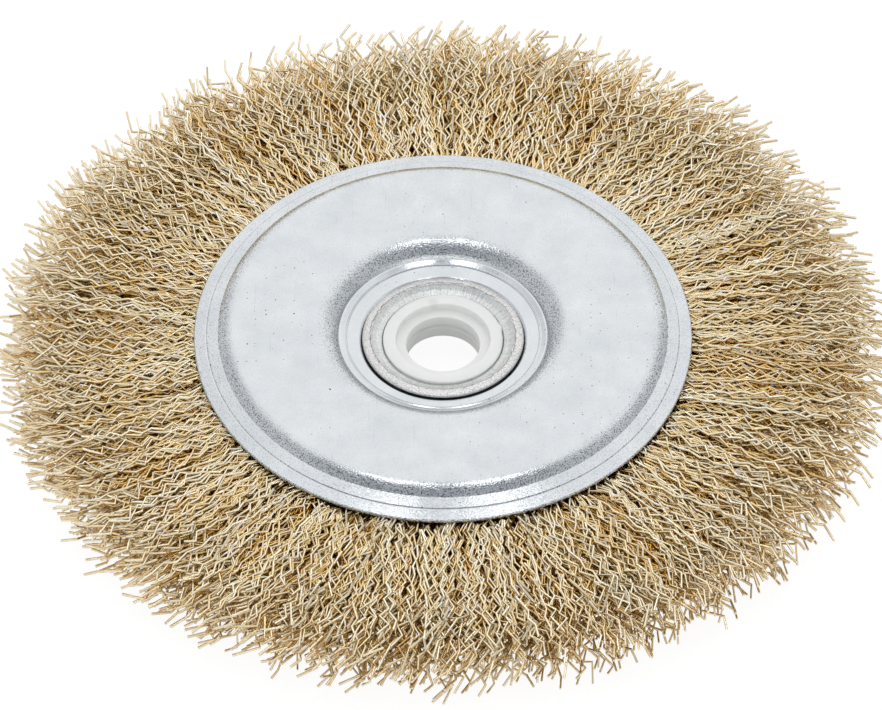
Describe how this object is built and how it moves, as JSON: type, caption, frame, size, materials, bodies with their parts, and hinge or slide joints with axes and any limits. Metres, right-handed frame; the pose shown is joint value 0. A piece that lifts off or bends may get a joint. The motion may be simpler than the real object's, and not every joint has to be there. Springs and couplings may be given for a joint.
{
  "type": "wire wheel brush",
  "caption": "Crimped wire wheel brush for a bench grinder, with pressed steel side plates, a flared hub sleeve and plastic reducing bushes.",
  "frame": {"origin": "centre of the arbor bore, on the wheel's middle plane", "axes": "+Z along the arbor bore, out of the front side plate; the wheel lies flat on its rear side plate's crown"},
  "size_m": [0.152, 0.152, 0.0148],
  "materials": {
    "zinc_plate": "bright zinc plating on pressed sheet",
    "sleeve_steel": "zinc plating, drawn and flared, with fine radial marks",
    "plain_steel": "plain cut steel",
    "bush_plastic": "moulded off-white plastic",
    "brassed_wire": "brass-coated steel wire, crimped"
  },
  "bodies": {
    "root": {"front_side_plate": "zinc_plate", "rear_side_plate": "zinc_plate", "hub_sleeve": "sleeve_steel", "spacer_ring": "plain_steel", "front_bore_bush": "bush_plastic", "rear_bore_bush": "bush_plastic", "wire_hoop": "plain_steel", "wire_bundle_01": "brassed_wire", "wire_bundle_02": "brassed_wire", "wire_bundle_03": "brassed_wire", "wire_bundle_04": "brassed_wire", "wire_bundle_05": "brassed_wire", "wire_bundle_06": "brassed_wire", "wire_bundle_07": "brassed_wire", "wire_bundle_08": "brassed_wire", "wire_bundle_09": "brassed_wire", "wire_bundle_10": "brassed_wire", "wire_bundle_11": "brassed_wire", "wire_bundle_12": "brassed_wire", "wire_bundle_13": "brassed_wire", "wire_bundle_14": "brassed_wire", "wire_bundle_15": "brassed_wire", "wire_bundle_16": "brassed_wire", "wire_bundle_17": "brassed_wire", "wire_bundle_18": "brassed_wire", "wire_bundle_19": "brassed_wire", "wire_bundle_20": "brassed_wire", "wire_bundle_21": "brassed_wire", "wire_bundle_22": "brassed_wire", "wire_bundle_23": "brassed_wire", "wire_bundle_24": "brassed_wire"}
  },
  "joints": []
}
